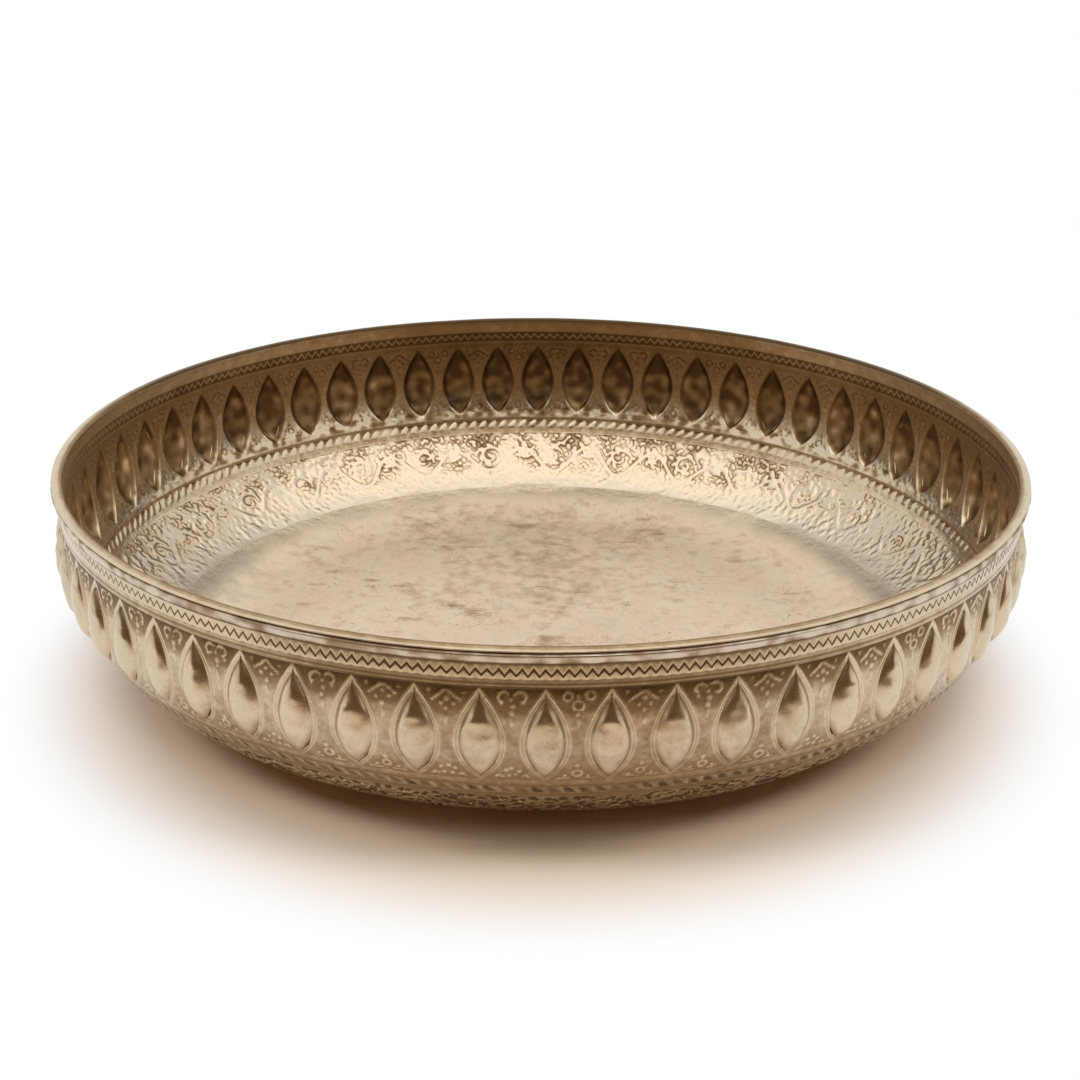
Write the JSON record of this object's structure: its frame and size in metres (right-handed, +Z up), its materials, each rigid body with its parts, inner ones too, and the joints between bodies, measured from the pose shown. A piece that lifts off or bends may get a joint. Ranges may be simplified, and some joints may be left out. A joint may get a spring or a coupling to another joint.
{
  "type": "silver bowl",
  "caption": "Wide, shallow raised metal bowl with a ring of petals round its wall, chased borders and a half-round band under its lip.",
  "frame": {"origin": "centre of the flat base, on the table", "axes": "+Z up through the middle of the mouth; -Y towards the camera of the picture, with a petal's middle on it"},
  "size_m": [0.3006, 0.3006, 0.068],
  "materials": {
    "aged_silver": "hammered and chased silver with warm tarnish, dark in the hollows",
    "worn_silver": "handled silver, brighter on its crest"
  },
  "bodies": {
    "root": {"bowl_shell": "aged_silver", "rim_band": "worn_silver"}
  },
  "joints": []
}
